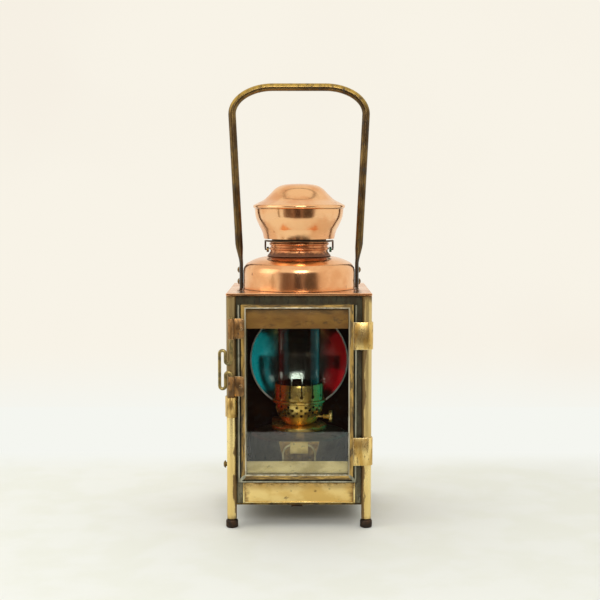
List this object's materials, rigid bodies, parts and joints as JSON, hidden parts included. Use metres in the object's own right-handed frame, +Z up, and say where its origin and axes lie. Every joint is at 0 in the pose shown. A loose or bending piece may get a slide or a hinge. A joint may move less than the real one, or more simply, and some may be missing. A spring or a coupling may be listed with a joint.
{
  "type": "railroad lantern",
  "caption": "Square copper and brass railway hand lamp with a glazed door, coloured side windows, a domed roof with a lift-off cowl and a tall hoop handle.",
  "frame": {"origin": "centre of the base plate's flat underside, on the lamp's upright axis; the button feet reach 22.8 mm below it", "axes": "+Z up along the lamp's axis, -Y towards the viewer through the glazed door, +X to the viewer's right, the hinge side"},
  "size_m": [0.1457, 0.1461, 0.4247],
  "materials": {
    "copper": "polished copper",
    "brass": "worn brass",
    "bright_brass": "polished brass",
    "soldered_brass": "grey-green soldered brass",
    "dark_brass": "brown patina",
    "dark_tin": "sooty tinplate",
    "iron": "blackened iron",
    "silvered": "polished mirror",
    "clear_glass": "clear",
    "ruby_glass": "ruby",
    "green_glass": "blue-green",
    "cotton": "woven cotton"
  },
  "bodies": {
    "lamp": {"back_left_foot": "iron", "back_left_post": "bright_brass", "back_right_foot": "iron", "back_right_post": "bright_brass", "back_wall": "soldered_brass", "base_plate": "brass", "base_tab": "iron", "burner_basket": "bright_brass", "burner_collar": "bright_brass", "burner_crown": "bright_brass", "burner_gallery": "bright_brass", "carrying_handle": "dark_brass", "dome": "copper", "fount_filler_cap": "brass", "fount_shelf": "dark_tin", "front_left_foot": "iron", "front_left_post": "bright_brass", "front_right_foot": "iron", "front_right_post": "bright_brass", "front_wall": "brass", "glass_chimney": "clear_glass", "latch_keeper": "brass", "left_clip_lug": "brass", "left_glass_frame": "dark_tin", "left_lower_handle_rivet": "dark_brass", "left_upper_handle_rivet": "dark_brass", "left_wall": "soldered_brass", "left_window_glass": "ruby_glass", "neck": "copper", "oil_fount": "dark_tin", "reflector": "silvered", "right_clip_lug": "brass", "right_glass_frame": "dark_tin", "right_lower_handle_rivet": "dark_brass", "right_upper_handle_rivet": "dark_brass", "right_wall": "soldered_brass", "right_window_glass": "green_glass", "ring_plate": "brass", "side_stud": "brass", "top_plate": "copper", "wick_tube": "brass"},
    "door": {"door_bottom_strip": "brass", "door_frame": "soldered_brass", "door_glass": "clear_glass", "door_top_strip": "brass", "lower_hinge_strap": "bright_brass", "lower_latch_guide": "brass", "upper_hinge_strap": "bright_brass", "upper_latch_guide": "brass"},
    "latch_bolt": {"latch_bolt": "dark_brass"},
    "cowl": {"cowl": "copper", "cowl_lid": "copper", "cowl_inner_tube": "dark_tin", "cowl_spider": "dark_tin"},
    "cowl_clip": {"cowl_clip": "dark_brass"},
    "ring_pull": {"ring_pull": "brass"},
    "wick": {"wick": "cotton"},
    "wick_winder": {"wick_spindle": "brass", "wick_knob": "bright_brass"}
  },
  "joints": [
    {"name": "door_hinge", "type": "hinge", "parent": "lamp", "child": "door", "pos_m": [0.0639, -0.0639, 0.1], "axis": [0, 0, 1], "range_deg": [0, 115]},
    {"name": "latch_slide", "type": "slide", "parent": "door", "child": "latch_bolt", "axis": [0, 0, 1], "range_m": [-0.0022, 0.019]},
    {"name": "cowl_lift", "type": "slide", "parent": "lamp", "child": "cowl", "axis": [0, 0, 1], "range_m": [0, 0.06]},
    {"name": "clip_swing", "type": "hinge", "parent": "lamp", "child": "cowl_clip", "pos_m": [0, 0, 0.2409], "axis": [1, 0, 0], "range_deg": [0, 20]},
    {"name": "ring_swing", "type": "hinge", "parent": "lamp", "child": "ring_pull", "pos_m": [0, -0.051, 0.05545], "axis": [-1, 0, 0], "range_deg": [0, 20]},
    {"name": "wick_rise", "type": "slide", "parent": "lamp", "child": "wick", "axis": [0, 0, 1], "range_m": [-0.00365, 0.00365]},
    {"name": "wick_knob_turn", "type": "hinge", "parent": "lamp", "child": "wick_winder", "pos_m": [0, -0.0116, 0.0755], "axis": [1, 0, 0], "range_deg": [-60, 60]}
  ],
  "couplings": [
    {"joint": "wick_knob_turn", "follows": "wick_rise", "rad_per_m": 285.71}
  ]
}
